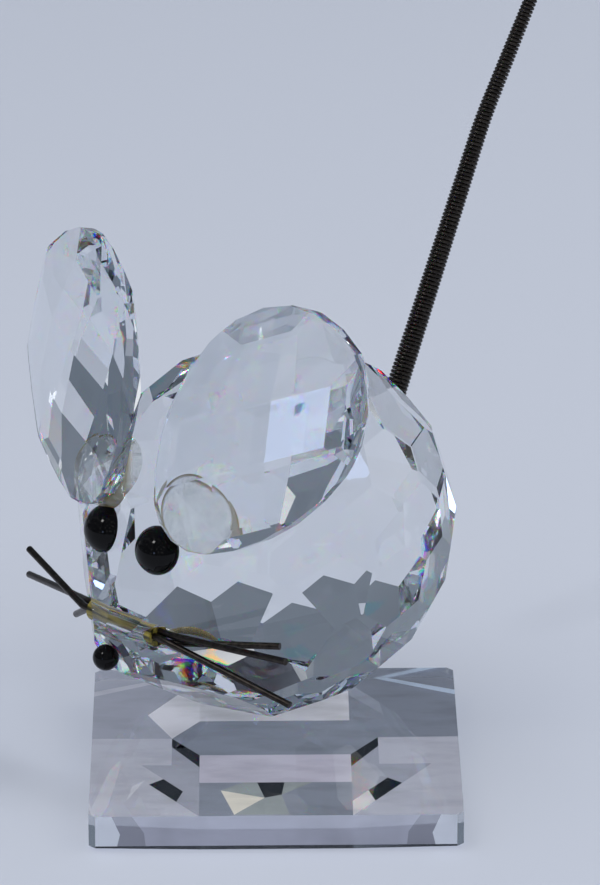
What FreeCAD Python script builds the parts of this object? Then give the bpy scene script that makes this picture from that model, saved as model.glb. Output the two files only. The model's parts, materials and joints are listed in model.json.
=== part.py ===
import FreeCAD, Part
import math
import os

# Crystal mouse figurine on a square plate. Lengths in millimetres, angles in degrees.
# The origin is the centre of the plate's underside, +Z is up, and the plate's front edge faces -Y.

# Base plate
PLATE_WIDTH = 50.0
PLATE_GIRDLE = 4.6
PLATE_BEVEL_DEPTH = 0.4
PLATE_FOOT_WIDTH = 28.0
PLATE_FOOT_CORNER = 20.8
PLATE_CORNER_CUT = 0.9

# Body crystal
BALL_DIAMETER = 49.6
SNOUT_SHIFT = 1.9
SNOUT_PROUD = 6.4
BODY_SIDEWAYS = -0.2
BODY_BACK = 19.4
BODY_SEAT_DEPTH = 0.3
BODY_HEADING = 222.0
BODY_TILT = 21.0
SEAT_FILM = 0.1

# Rows of facets from the pole behind and from the snout: each row's angle from its pole,
# its number of facets, and how far it is turned as a share of the step between facets
REAR_ROW_ANGLES = (18.0, 37.0, 54.0, 72.0, 90.0)
REAR_ROW_COUNTS = (8, 8, 16, 16, 16)
REAR_ROW_TURN_SHARES = (0.5, 0.0, 0.25, 0.75, 0.25)
SNOUT_ROW_ANGLES = (73.0, 57.0, 40.0)
SNOUT_ROW_COUNTS = (16, 8, 8)
SNOUT_ROW_TURN_SHARES = (0.75, 0.0, 0.5)
EYE_FACET_TURN = 22.5

# Eyes and nose
EYE_DIAMETER = 6.7
EYE_EDGE = 0.4
EYE_HEIGHT = 2.9
EYE_SETBACK = 8.8
NOSE_DIAMETER = 3.6
NOSE_FLAT_DEPTH = 0.3

# Whiskers: three wires through one bore across the snout
WHISKER_COUNT = 3
WHISKER_DIAMETER = 0.95
WHISKER_BEND_RADIUS = 3.0
WHISKER_BEND_OUTSET = 0.8
WHISKER_BORE_DIAMETER = 3.2
WHISKER_FILL_INSET = 1.0
WHISKER_SETBACK = 3.5
WHISKER_RISE = 2.5
WHISKER_SPACING = 1.12
WHISKER_BUNDLE_ANGLE = 267.0

# Each whisker: rise and backward sweep of its left end, then of its right end, and both reaches
UPPER_WHISKER_ANGLES = (6.9, 25.5, -27.4, 25.7)
UPPER_WHISKER_REACHES = (16.4, 7.2)
MIDDLE_WHISKER_ANGLES = (4.3, 7.8, -11.4, 19.3)
MIDDLE_WHISKER_REACHES = (20.6, 23.2)
LOWER_WHISKER_ANGLES = (-12.6, 13.2, 10.9, 12.4)
LOWER_WHISKER_REACHES = (21.2, 15.8)

# Ears: drop-shaped lenses with chequer facets on both faces
EAR_LENGTH = 38.2
EAR_WIDTH = 25.6
EAR_THICKNESS = 8.6
EAR_RIM = 1.3
EAR_TAPER_SHARE = 0.19
EAR_RIM_FACET_COUNT = 24
EAR_FACET_ALONG = 6.8
EAR_FACET_ACROSS = 4.6
EAR_ROLL_ANGLE = 66.0
EAR_ROOT_PROUD = 3.7
LEFT_EAR_ROOT_TURN = 19.9
LEFT_EAR_ROOT_RISE = 14.3
LEFT_EAR_TURN = 128.3
LEFT_EAR_RISE = 54.0
RIGHT_EAR_ROOT_TURN = 10.3
RIGHT_EAR_ROOT_RISE = 17.1
RIGHT_EAR_TURN = 122.6
RIGHT_EAR_RISE = 53.5
EAR_SPOT_DIAMETER = 10.4
EAR_SPOT_STATION = 13.6
EAR_SPOT_TILT = 17.0
EAR_SEAT_GAP = 0.15
EAR_SEAT_TURN = 25.0
EAR_SEAT_RISE = 27.0

# Tail: one tapered spring on a bent way, wound open here so that its turns stay clear of each other
TAIL_WIRE = 0.65
TAIL_WIRE_FLAT_COUNT = 3
TAIL_PITCH = 3.0
TAIL_ROOT_DIAMETER = 3.2
TAIL_BEND_DIAMETER = 2.4
TAIL_END_DIAMETER = 2.05
TAIL_LOWER_LENGTH = 40.2
TAIL_UPPER_LENGTH = 21.0
TAIL_ROOT_RISE = 25.7
TAIL_LOWER_RISE = 65.4
TAIL_UPPER_RISE = 59.4
TAIL_BORE_DIAMETER = 3.5
TAIL_BORE_DEPTH = 5.5
TAIL_PLUG_HEIGHT = 0.5
TAIL_PROUD = 2.1
TAIL_JOINT_GAP = 0.6
TAIL_CORE_CLEARANCE = 0.1

# Helper lengths
OVERRUN = 40.0
SNAP = 1e-4
SEAT_STEP_COUNT = 12
GAP_STEP_COUNT = 6


def vector(x, y, z):
    return FreeCAD.Vector(x, y, z)


def turn(axis, angle):
    return FreeCAD.Placement(vector(0, 0, 0), FreeCAD.Rotation(axis, angle))


def shift(x, y, z):
    return FreeCAD.Placement(vector(x, y, z), FreeCAD.Rotation())


X = vector(1, 0, 0)
Y = vector(0, 1, 0)
Z = vector(0, 0, 1)

PLATE_THICKNESS = PLATE_GIRDLE + PLATE_BEVEL_DEPTH
BALL_RADIUS = BALL_DIAMETER / 2
SNOUT_LENGTH = BALL_RADIUS + SNOUT_PROUD
EYE_STATION = SNOUT_LENGTH - EYE_SETBACK
WHISKER_STATION = SNOUT_LENGTH - WHISKER_SETBACK
BODY_HEIGHT = PLATE_THICKNESS + SEAT_FILM + BALL_RADIUS - BODY_SEAT_DEPTH

# The mouse's own frame: +X ahead, +Y to its left, +Z up, from the centre of the ball
MOUSE = shift(BODY_SIDEWAYS, BODY_BACK, BODY_HEIGHT) * turn(Z, BODY_HEADING)
# The frame of the body crystal: +X runs down its long axis to the nose
STONE = MOUSE * turn(Y, BODY_TILT)


def save(shape, name):
    solids = len(shape.Solids)
    if not shape.isValid() or solids == 0:
        raise ValueError(name + " is not a valid solid")
    shape.exportStep(os.path.join("parts", name + ".step"))
    box = shape.BoundBox
    print(name, "solids", solids, "faces", len(shape.Faces), "volume", round(shape.Volume, 1),
          "box", [round(v, 1) for v in (box.XMin, box.YMin, box.ZMin, box.XMax, box.YMax, box.ZMax)])


# Cutting a stone: each facet is a plane with its outward normal and its distance from the centre

def clip(polygon, normal, distance):
    """The part of a polygon that lies on the inner side of one plane."""
    kept = []
    for here, ahead in zip(polygon, polygon[1:] + polygon[:1]):
        here_over = here.dot(normal) - distance
        ahead_over = ahead.dot(normal) - distance
        if here_over <= 0:
            kept.append(here)
        if (here_over < 0 < ahead_over) or (ahead_over < 0 < here_over):
            kept.append(here + (ahead - here) * (here_over / (here_over - ahead_over)))
    return kept


def without_repeats(polygon):
    """The corners of a polygon with those closer together than the snap length joined."""
    kept = []
    for corner in polygon:
        if not kept or corner.distanceToPoint(kept[-1]) > SNAP:
            kept.append(corner)
    if len(kept) > 1 and kept[0].distanceToPoint(kept[-1]) <= SNAP:
        kept.pop()
    return kept


def facet_face(planes, index):
    """One facet: a wide square on its plane, trimmed by every other plane."""
    normal, distance = planes[index]
    across = normal.cross(X if abs(normal.x) < 0.9 else Y)
    across.normalize()
    along = normal.cross(across)
    centre = normal * distance
    corners = ((1, 1), (-1, 1), (-1, -1), (1, -1))
    polygon = [centre + across * (OVERRUN * a) + along * (OVERRUN * b) for a, b in corners]
    for other, (other_normal, other_distance) in enumerate(planes):
        if other != index and len(polygon) > 2:
            polygon = clip(polygon, other_normal, other_distance)
    polygon = without_repeats(polygon)
    if len(polygon) < 3:
        return None
    return Part.Face(Part.makePolygon(polygon + polygon[:1]))


def cut_stone(planes):
    """The solid that all the facet planes leave between them."""
    faces = [facet_face(planes, index) for index in range(len(planes))]
    shell = Part.Shell([face for face in faces if face is not None])
    solid = Part.Solid(shell)
    if solid.Volume < 0:
        solid.reverse()
    return solid


# Base plate: a square slab, its corners cut, its underside bevelled to an eight-sided foot

def upright_planes(half, corner_cut):
    planes = []
    for quarter in range(4):
        side = math.radians(90 * quarter)
        corner = math.radians(90 * quarter + 45)
        planes.append((vector(math.cos(side), math.sin(side), 0), half))
        planes.append((vector(math.cos(corner), math.sin(corner), 0), (half * 2 - corner_cut) / math.sqrt(2)))
    return planes


def bevel_plane(angle, outer, inner):
    """A plane that rises from the foot's edge to the lower edge of the girdle."""
    slope = math.atan2(outer - inner, PLATE_BEVEL_DEPTH)
    flat = math.cos(slope)
    down = math.sin(slope)
    normal = vector(flat * math.cos(angle), flat * math.sin(angle), -down)
    return (normal, inner * flat)


def base_plate():
    half = PLATE_WIDTH / 2
    foot_half = PLATE_FOOT_WIDTH / 2
    foot_corner_half = (foot_half + PLATE_FOOT_CORNER / 2) / math.sqrt(2)
    girdle_corner_half = (PLATE_WIDTH - PLATE_CORNER_CUT) / math.sqrt(2)
    planes = upright_planes(half, PLATE_CORNER_CUT)
    planes.append((Z, PLATE_THICKNESS))
    planes.append((-Z, 0.0))
    for quarter in range(4):
        side = math.radians(90 * quarter)
        planes.append(bevel_plane(side, half, foot_half))
        planes.append(bevel_plane(side + math.radians(45), girdle_corner_half, foot_corner_half))
    return cut_stone(planes)


# Body crystal: facets in rows round the long axis, on a ball behind and a blunt cone before

def row_planes(angles, counts, turn_shares, pole_sign, ahead):
    """Facets of rows about the long axis, tangent to a ball whose centre lies ahead of the origin."""
    planes = []
    for angle, count, turn_share in zip(angles, counts, turn_shares):
        lean = math.radians(angle)
        for number in range(count):
            round_axis = math.radians(360.0 / count * (number + turn_share))
            normal = vector(
                pole_sign * math.cos(lean),
                math.sin(lean) * math.sin(round_axis),
                math.sin(lean) * math.cos(round_axis),
            )
            planes.append((normal, BALL_RADIUS + ahead * normal.x))
    return planes


def body_planes():
    planes = row_planes(REAR_ROW_ANGLES, REAR_ROW_COUNTS, REAR_ROW_TURN_SHARES, -1, 0.0)
    planes += row_planes(SNOUT_ROW_ANGLES, SNOUT_ROW_COUNTS, SNOUT_ROW_TURN_SHARES, 1, SNOUT_SHIFT)
    planes.append((-X, BALL_RADIUS))
    planes.append((X, SNOUT_LENGTH))
    down = STONE.Rotation.inverted().multVec(-Z)
    planes.append((down, BALL_RADIUS - BODY_SEAT_DEPTH))
    return planes


def snout_facet(turn_angle):
    """Outward normal and distance of the snout's long facet at a turn round the axis."""
    lean = math.radians(SNOUT_ROW_ANGLES[-1])
    round_axis = math.radians(turn_angle)
    normal = vector(
        math.cos(lean),
        math.sin(lean) * math.sin(round_axis),
        math.sin(lean) * math.cos(round_axis),
    )
    return normal, BALL_RADIUS + SNOUT_SHIFT * normal.x


def whisker_bore(diameter, half_length):
    start = vector(WHISKER_STATION, -half_length, WHISKER_RISE)
    return Part.makeCylinder(diameter / 2, half_length * 2, start, Y)


def tail_direction(rise):
    angle = math.radians(rise)
    return vector(-math.cos(angle), 0, math.sin(angle))


TAIL_ROOT = tail_direction(TAIL_ROOT_RISE) * BALL_RADIUS
TAIL_LOWER_WAY = tail_direction(TAIL_LOWER_RISE)
TAIL_UPPER_WAY = tail_direction(TAIL_UPPER_RISE)
TAIL_BEND = TAIL_ROOT + TAIL_LOWER_WAY * (TAIL_PROUD + TAIL_LOWER_LENGTH)


def tail_bore(diameter, depth, overrun):
    start = TAIL_ROOT - TAIL_LOWER_WAY * depth
    return Part.makeCylinder(diameter / 2, depth + overrun, start, TAIL_LOWER_WAY)


def body_crystal():
    stone = cut_stone(body_planes())
    stone = stone.cut(whisker_bore(WHISKER_BORE_DIAMETER, BALL_RADIUS))
    stone.Placement = STONE
    bore = tail_bore(TAIL_BORE_DIAMETER, TAIL_BORE_DEPTH, BALL_RADIUS)
    bore.Placement = MOUSE
    return stone.cut(bore)


def base_adhesive(body):
    """The film that holds the body's ground seat to the plate, as far as the plate reaches."""
    seat = min(body.Faces, key=lambda face: face.BoundBox.ZMax)
    film = seat.extrude(vector(0, 0, -SEAT_FILM))
    corner = vector(-PLATE_WIDTH / 2, -PLATE_WIDTH / 2, PLATE_THICKNESS)
    return film.common(Part.makeBox(PLATE_WIDTH, PLATE_WIDTH, SEAT_FILM, corner))


# Eyes and nose: black glass cabochons and a bead, each on a facet of the snout

def eye(side):
    normal, distance = snout_facet(EYE_FACET_TURN * side)
    radial = (distance - EYE_STATION * normal.x) / math.hypot(normal.y, normal.z)
    round_axis = math.radians(EYE_FACET_TURN * side)
    seat = vector(EYE_STATION, radial * math.sin(round_axis), radial * math.cos(round_axis))
    radius = EYE_DIAMETER / 2
    height = EYE_HEIGHT - EYE_EDGE
    dome_radius = (radius ** 2 + height ** 2) / (2 * height)
    half_angle = math.asin(radius / dome_radius) / 2
    centre = EYE_HEIGHT - dome_radius
    middle = vector(dome_radius * math.sin(half_angle), 0, centre + dome_radius * math.cos(half_angle))
    edge_top = vector(radius, 0, EYE_EDGE)
    crown = vector(0, 0, EYE_HEIGHT)
    outline = Part.Wire([
        Part.makeLine(vector(0, 0, 0), vector(radius, 0, 0)),
        Part.makeLine(vector(radius, 0, 0), edge_top),
        Part.Arc(edge_top, middle, crown).toShape(),
        Part.makeLine(crown, vector(0, 0, 0)),
    ])
    solid = Part.Face(outline).revolve(vector(0, 0, 0), Z, 360)
    solid.Placement = STONE * FreeCAD.Placement(seat, FreeCAD.Rotation(Z, normal))
    return solid


def nose():
    radius = NOSE_DIAMETER / 2
    centre = vector(SNOUT_LENGTH + radius - NOSE_FLAT_DEPTH, 0, 0)
    bead = Part.makeSphere(radius, centre)
    keep = Part.makeBox(OVERRUN, OVERRUN, OVERRUN, vector(SNOUT_LENGTH, -OVERRUN / 2, -OVERRUN / 2))
    bead = bead.common(keep)
    bead.Placement = STONE
    return bead


# Whiskers: round wires laid side by side in the bore and bent where they leave it

def rounded_path(points, radius):
    """Straight runs through the points, joined by tangent arcs of one radius."""
    edges = []
    start = points[0]
    for before, corner, after in zip(points, points[1:], points[2:]):
        come = corner - before
        leave = after - corner
        come.normalize()
        leave.normalize()
        bend = come.getAngle(leave)
        setback = radius * math.tan(bend / 2)
        first = corner - come * setback
        last = corner + leave * setback
        inward = leave - come
        inward.normalize()
        to_middle = radius * (1 / math.cos(bend / 2) - 1)
        edges.append(Part.LineSegment(start, first).toShape())
        edges.append(Part.Arc(first, corner + inward * to_middle, last).toShape())
        start = last
    edges.append(Part.LineSegment(start, points[-1]).toShape())
    return Part.Wire(edges)


def round_wire(path, diameter):
    start = path.Edges[0].valueAt(path.Edges[0].FirstParameter)
    way = path.Edges[0].tangentAt(path.Edges[0].FirstParameter)
    section = Part.Wire([Part.makeCircle(diameter / 2, start, way)])
    return path.makePipeShell([section], True, False)


def bore_exit():
    """How far to the side the bore leaves the snout's facet."""
    normal, distance = snout_facet(EYE_FACET_TURN * 3)
    return (distance - WHISKER_STATION * normal.x - WHISKER_RISE * normal.z) / normal.y


def whisker(place, angles, reaches):
    """One wire at its place in the bundle, with the rise and backward sweep of each end and its reaches."""
    left_rise, left_sweep, right_rise, right_sweep = angles
    left_reach, right_reach = reaches
    exit_side = bore_exit() + WHISKER_BEND_OUTSET
    around = math.radians(WHISKER_BUNDLE_ANGLE - 360.0 * place / WHISKER_COUNT)
    offset = WHISKER_SPACING / (2 * math.sin(math.pi / WHISKER_COUNT))
    station = WHISKER_STATION + offset * math.cos(around)
    rise = WHISKER_RISE + offset * math.sin(around)

    def tip(side, rise_angle, sweep_angle, reach):
        up = math.radians(rise_angle)
        back = math.radians(sweep_angle)
        way = vector(-math.cos(up) * math.sin(back), side * math.cos(up) * math.cos(back), math.sin(up))
        level = turn(Y, -BODY_TILT).Rotation.multVec(way)
        return vector(station, side * exit_side, rise) + level * reach

    points = [
        tip(1, left_rise, left_sweep, left_reach),
        vector(station, exit_side, rise),
        vector(station, -exit_side, rise),
        tip(-1, right_rise, right_sweep, right_reach),
    ]
    wire = round_wire(rounded_path(points, WHISKER_BEND_RADIUS), WHISKER_DIAMETER)
    wire.Placement = STONE
    return wire


def whisker_adhesive(wires):
    half = bore_exit() - WHISKER_FILL_INSET
    filling = whisker_bore(WHISKER_BORE_DIAMETER, half)
    filling.Placement = STONE
    for wire in wires:
        filling = filling.cut(wire)
    return filling


# Ears: the two faces are chequered facets tangent to a dome, between an upright rim

def ear_outline(angle):
    """Point and outward normal of the drop outline at an angle from its broad end."""
    half = EAR_LENGTH / 2
    half_width = EAR_WIDTH / 2
    width = half_width * (1 + EAR_TAPER_SHARE * math.cos(angle))
    point = vector(half * math.cos(angle), width * math.sin(angle), 0)
    growth = width * math.cos(angle) - half_width * EAR_TAPER_SHARE * math.sin(angle) ** 2
    normal = vector(growth, half * math.sin(angle), 0)
    normal.normalize()
    return point, normal


def ear_dome_planes(face_side):
    """Facets tangent to a dome at the points of a chequered grid."""
    height = EAR_THICKNESS / 2
    rim = EAR_RIM / 2
    reach = math.sqrt(1 - rim / height)
    dome_length = EAR_LENGTH / 2 / reach
    dome_width = EAR_WIDTH / 2 / reach
    columns = int(EAR_LENGTH / 2 / EAR_FACET_ALONG)
    lines = int(EAR_WIDTH / 2 / EAR_FACET_ACROSS)
    planes = []
    for column in range(-columns, columns + 1):
        for line in range(-lines, lines + 1):
            if (column + line) % 2:
                continue
            x = column * EAR_FACET_ALONG
            y = line * EAR_FACET_ACROSS
            out_share = (x / dome_length) ** 2 + (y / dome_width) ** 2
            if out_share >= 1:
                continue
            z = height * (1 - out_share)
            normal = vector(2 * height * x / dome_length ** 2, 2 * height * y / dome_width ** 2, 1)
            normal.normalize()
            planes.append((vector(normal.x, normal.y, face_side * normal.z), normal.dot(vector(x, y, z))))
    return planes


def ear_planes():
    planes = []
    for number in range(EAR_RIM_FACET_COUNT):
        point, normal = ear_outline(2 * math.pi * (number + 0.5) / EAR_RIM_FACET_COUNT)
        planes.append((normal, point.dot(normal)))
    return planes + ear_dome_planes(1) + ear_dome_planes(-1)


def ear_placement(root_turn, root_rise, way_turn, way_rise):
    """A left ear by its root: +X from root to tip, +Z out of its front face, in the mouse's frame."""
    to_root = turn(Z, root_turn) * turn(Y, -root_rise) * shift(BALL_RADIUS + EAR_ROOT_PROUD, 0, 0)
    lift = turn(Z, way_turn) * turn(Y, -way_rise) * turn(X, EAR_ROLL_ANGLE)
    return shift(*to_root.Base) * lift * shift(EAR_LENGTH / 2, 0, 0)


def mirrored(shape):
    """The same shape on the mouse's other side."""
    inner = shape.copy()
    inner.transformShape(MOUSE.inverse().toMatrix())
    other = inner.mirror(vector(0, 0, 0), Y)
    other.transformShape(MOUSE.toMatrix())
    return other


def seat_way():
    """The way from the body out to a left ear, along which the ear is brought down."""
    return (MOUSE * turn(Z, EAR_SEAT_TURN) * turn(Y, -EAR_SEAT_RISE)).Rotation.multVec(X)


def seat_against(piece, carrier, way):
    """Brings a piece in along one way from well outside until it lies one seat gap from its carrier."""
    place = piece.Placement
    out = EAR_LENGTH
    for step in range(SEAT_STEP_COUNT):
        piece.Placement = FreeCAD.Placement(way * out, FreeCAD.Rotation()) * place
        out -= piece.distToShape(carrier)[0] - EAR_SEAT_GAP
    print("ear moved out by", round(out, 3))


def ear_and_spot(carriers, root_turn, root_rise, way_turn, way_rise):
    """A left ear and its adhesive, which fills the wedge between the ear's back and the head."""
    head = Part.makeCompound(carriers)
    ear = cut_stone(ear_planes())
    ear.Placement = MOUSE * ear_placement(root_turn, root_rise, way_turn, way_rise)
    seat_against(ear, head, seat_way())
    place = ear.Placement
    spot = Part.makeCylinder(EAR_SPOT_DIAMETER / 2, EAR_THICKNESS, vector(0, 0, -EAR_THICKNESS), Z)
    lean = turn(Y, EAR_SPOT_TILT)
    spot.Placement = place * shift(-EAR_SPOT_STATION, 0, 0) * lean
    for carrier in carriers:
        spot = spot.cut(carrier)
    pieces = spot.cut(ear).Solids
    print("ear to head", round(ear.distToShape(head)[0], 3))
    return ear, max(pieces, key=lambda piece: piece.Volume)


# Tail: the turns of a tapered helix, each half turn a pair of tangent arcs

class Helix:
    """A tapered helix about a straight way, from its foot up."""

    def __init__(self, foot, way, pitch, start_radius, end_radius, run):
        self.foot = foot
        self.way = way
        self.front = way.cross(Y)
        self.pitch = pitch
        self.start_radius = start_radius
        self.taper = (end_radius - start_radius) / run

    def point(self, angle):
        rise = self.pitch * angle / (2 * math.pi)
        spoke = Y * math.cos(angle) + self.front * math.sin(angle)
        return self.foot + self.way * rise + spoke * (self.start_radius + self.taper * rise)

    def tangent(self, angle):
        growth = self.pitch / (2 * math.pi)
        radius = self.start_radius + self.taper * growth * angle
        spoke = Y * math.cos(angle) + self.front * math.sin(angle)
        round_way = self.front * math.cos(angle) - Y * math.sin(angle)
        tangent = self.way * growth + spoke * (self.taper * growth) + round_way * radius
        tangent.normalize()
        return tangent


def arc_between(start, end, start_way):
    """The arc from start to end that leaves start along a direction."""
    chord = end - start
    half = chord.Length / 2
    chord.normalize()
    bulge = start_way - chord * start_way.dot(chord)
    bulge.normalize()
    middle = (start + end) * 0.5 + bulge * (half * math.tan(start_way.getAngle(chord) / 2))
    return Part.Arc(start, middle, end).toShape()


def tangent_arcs(start, start_way, end, end_way):
    """Two arcs that join smoothly and match the directions at both ends."""
    gap = end - start
    lean = gap.dot(start_way + end_way)
    turned = 2 * (1 - start_way.dot(end_way))
    reach = (math.sqrt(lean * lean + turned * gap.dot(gap)) - lean) / turned
    first_corner = start + start_way * reach
    second_corner = end - end_way * reach
    joint = (first_corner + second_corner) * 0.5
    joint_way = second_corner - first_corner
    joint_way.normalize()
    return [arc_between(start, joint, start_way), arc_between(joint, end, joint_way)]


def faceted_wire(path, diameter, flats):
    """A wire with a few flats for its round section, as wide across its corners."""
    start = path.Edges[0].valueAt(path.Edges[0].FirstParameter)
    way = path.Edges[0].tangentAt(path.Edges[0].FirstParameter)
    across = way.cross(X)
    across.normalize()
    other = way.cross(across)
    corners = []
    for number in range(flats):
        angle = 2 * math.pi * number / flats
        corners.append(start + (across * math.cos(angle) + other * math.sin(angle)) * (diameter / 2))
    section = Part.makePolygon(corners + corners[:1])
    return path.makePipeShell([section], True, False)


def least_gap(edges, wire):
    """The narrowest space between a turn and the next, measured on points along the path."""
    points = []
    for edge in edges:
        step = (edge.LastParameter - edge.FirstParameter) / GAP_STEP_COUNT
        places = [edge.FirstParameter + step * number for number in range(GAP_STEP_COUNT)]
        points += [edge.valueAt(place) for place in places]
    turn_steps = 4 * GAP_STEP_COUNT
    gaps = []
    for index, point in enumerate(points):
        for other in points[index + turn_steps // 2:index + turn_steps * 2]:
            gaps.append(point.distanceToPoint(other) - wire)
    return min(gaps)


def coil(name, base, way, start_diameter, end_diameter, length):
    """One unbroken wound wire of whole turns between two diameters measured over the wire."""
    run = length - TAIL_WIRE
    turns = round(run / TAIL_PITCH)
    foot = base + way * (TAIL_WIRE / 2)
    start_radius = (start_diameter - TAIL_WIRE) / 2
    end_radius = (end_diameter - TAIL_WIRE) / 2
    helix = Helix(foot, way, run / turns, start_radius, end_radius, run)
    edges = []
    for half_turn in range(2 * turns):
        first = math.pi * half_turn
        last = first + math.pi
        start = (helix.point(first), helix.tangent(first))
        end = (helix.point(last), helix.tangent(last))
        edges += tangent_arcs(*start, *end)
    wound = faceted_wire(Part.Wire(edges), TAIL_WIRE, TAIL_WIRE_FLAT_COUNT)
    wound.Placement = MOUSE
    print(name, "turns", turns, "least gap", round(least_gap(edges, TAIL_WIRE), 3))
    return wound


def diameter_at(distance):
    """Outer diameter of the lower tail at a distance above the body."""
    share = distance / (TAIL_PROUD + TAIL_LOWER_LENGTH)
    return TAIL_ROOT_DIAMETER + (TAIL_BEND_DIAMETER - TAIL_ROOT_DIAMETER) * share


def tail_anchor():
    """The first turns, in the bore and just out of it."""
    depth = TAIL_BORE_DEPTH - TAIL_PLUG_HEIGHT - TAIL_CORE_CLEARANCE
    base = TAIL_ROOT - TAIL_LOWER_WAY * depth
    length = depth + TAIL_PROUD - TAIL_JOINT_GAP / 2
    return coil("tail_anchor_turns", base, TAIL_LOWER_WAY, TAIL_ROOT_DIAMETER, TAIL_ROOT_DIAMETER, length)


def tail_lower():
    start = TAIL_PROUD + TAIL_JOINT_GAP / 2
    end = TAIL_PROUD + TAIL_LOWER_LENGTH - TAIL_JOINT_GAP / 2
    base = TAIL_ROOT + TAIL_LOWER_WAY * start
    return coil("tail_lower_coil", base, TAIL_LOWER_WAY, diameter_at(start), diameter_at(end), end - start)


def tail_upper():
    base = TAIL_BEND + TAIL_UPPER_WAY * (TAIL_JOINT_GAP / 2)
    diameters = (TAIL_BEND_DIAMETER, TAIL_END_DIAMETER)
    return coil("tail_upper_coil", base, TAIL_UPPER_WAY, *diameters, TAIL_UPPER_LENGTH)


def tail_adhesive():
    """A plug of adhesive at the bottom of the bore with a core inside the turns."""
    bottom = TAIL_ROOT - TAIL_LOWER_WAY * TAIL_BORE_DEPTH
    plug = Part.makeCylinder(TAIL_BORE_DIAMETER / 2, TAIL_PLUG_HEIGHT, bottom, TAIL_LOWER_WAY)
    core_radius = TAIL_ROOT_DIAMETER / 2 - TAIL_WIRE - TAIL_CORE_CLEARANCE
    core = Part.makeCylinder(core_radius, TAIL_BORE_DEPTH, bottom, TAIL_LOWER_WAY)
    joined = plug.fuse(core).removeSplitter()
    joined.Placement = MOUSE
    return joined


os.makedirs("parts", exist_ok=True)

body = body_crystal()
save(base_plate(), "base_plate")
save(body, "body_crystal")
save(base_adhesive(body), "base_adhesive")

# The right ear and its adhesive are made on the left of the mirrored body and mirrored back
left_eye = eye(1)
left_root = (LEFT_EAR_ROOT_TURN, LEFT_EAR_ROOT_RISE)
right_root = (RIGHT_EAR_ROOT_TURN, RIGHT_EAR_ROOT_RISE)
left_ear, left_spot = ear_and_spot((body, left_eye), *left_root, LEFT_EAR_TURN, LEFT_EAR_RISE)
right_ear, right_spot = ear_and_spot((mirrored(body), left_eye), *right_root, RIGHT_EAR_TURN, RIGHT_EAR_RISE)
save(left_ear, "left_ear")
save(mirrored(right_ear), "right_ear")
save(left_spot, "left_ear_adhesive")
save(mirrored(right_spot), "right_ear_adhesive")

save(left_eye, "left_eye")
save(eye(-1), "right_eye")
save(nose(), "nose")

wires = [
    whisker(0, UPPER_WHISKER_ANGLES, UPPER_WHISKER_REACHES),
    whisker(1, MIDDLE_WHISKER_ANGLES, MIDDLE_WHISKER_REACHES),
    whisker(2, LOWER_WHISKER_ANGLES, LOWER_WHISKER_REACHES),
]
for wire, name in zip(wires, ("whisker_upper", "whisker_middle", "whisker_lower")):
    save(wire, name)
save(whisker_adhesive(wires), "whisker_adhesive")

save(tail_anchor(), "tail_anchor_turns")
save(tail_adhesive(), "tail_adhesive")
save(tail_lower(), "tail_lower_coil")
save(tail_upper(), "tail_upper_coil")
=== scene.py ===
import json
import math
import bpy
import numpy as np
from mathutils import Matrix, Vector


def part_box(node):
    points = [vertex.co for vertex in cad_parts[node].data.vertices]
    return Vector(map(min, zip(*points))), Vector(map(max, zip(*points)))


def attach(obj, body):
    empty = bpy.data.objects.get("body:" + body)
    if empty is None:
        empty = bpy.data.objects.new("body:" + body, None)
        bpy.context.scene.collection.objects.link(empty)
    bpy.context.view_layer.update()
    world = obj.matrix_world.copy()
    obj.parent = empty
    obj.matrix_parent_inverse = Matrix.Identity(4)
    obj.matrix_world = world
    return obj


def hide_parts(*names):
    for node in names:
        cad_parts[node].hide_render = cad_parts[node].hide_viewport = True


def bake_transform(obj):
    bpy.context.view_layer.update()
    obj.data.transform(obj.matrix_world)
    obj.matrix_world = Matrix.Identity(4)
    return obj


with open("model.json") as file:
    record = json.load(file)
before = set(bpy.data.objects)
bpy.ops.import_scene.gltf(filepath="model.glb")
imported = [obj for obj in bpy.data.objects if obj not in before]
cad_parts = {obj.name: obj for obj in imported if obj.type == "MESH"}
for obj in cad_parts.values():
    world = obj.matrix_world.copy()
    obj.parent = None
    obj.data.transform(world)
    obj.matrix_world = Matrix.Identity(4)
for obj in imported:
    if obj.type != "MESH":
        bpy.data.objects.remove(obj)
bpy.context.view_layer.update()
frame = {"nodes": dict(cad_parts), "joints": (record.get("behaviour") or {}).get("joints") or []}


# Base plate
# A square slab of lead crystal, sawn, then ground and polished, its corners and lower edges cut to facets.
# It is clear and very bright, and white light that leaves it at a slant splits into colours. Its underside
# facets and most of its front wall carry painted reflections, painted shade and painted highlights in flat
# tones.

MM = 0.001

CRYSTAL_TINT = "#FCFDFE"
CRYSTAL_SHADOW = "#FAFBFD"
CRYSTAL_IOR_RED = 1.53
CRYSTAL_IOR = 1.545
CRYSTAL_IOR_BLUE = 1.56
FIRE_PATCH = 6.0
FIRE_EDGE = (0.6, 0.66)

# The flat foot is an octagon. Its front and back edges are FOOT_REACH from the middle and end at FOOT_EDGE,
# and its side edges are FOOT_SIDE_REACH from the middle and end at FOOT_SIDE_EDGE. All sizes are in mm.
FOOT_REACH = 10.4
FOOT_EDGE = 10.3
FOOT_SIDE_REACH = 14.1
FOOT_SIDE_EDGE = 4.5
FACET_SLOPE = 0.012
CORNER_CUT = 0.9
# Lines and patches on the front corner facets, and the lip along the bottom of the front wall, bound painted
# tones.
CORNER_NEAR_LINE = 3.4
CORNER_FAR_LINE = 6.0
CORNER_PATCH = (0.38, 0.72)
WALL_LIP = 0.7
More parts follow.
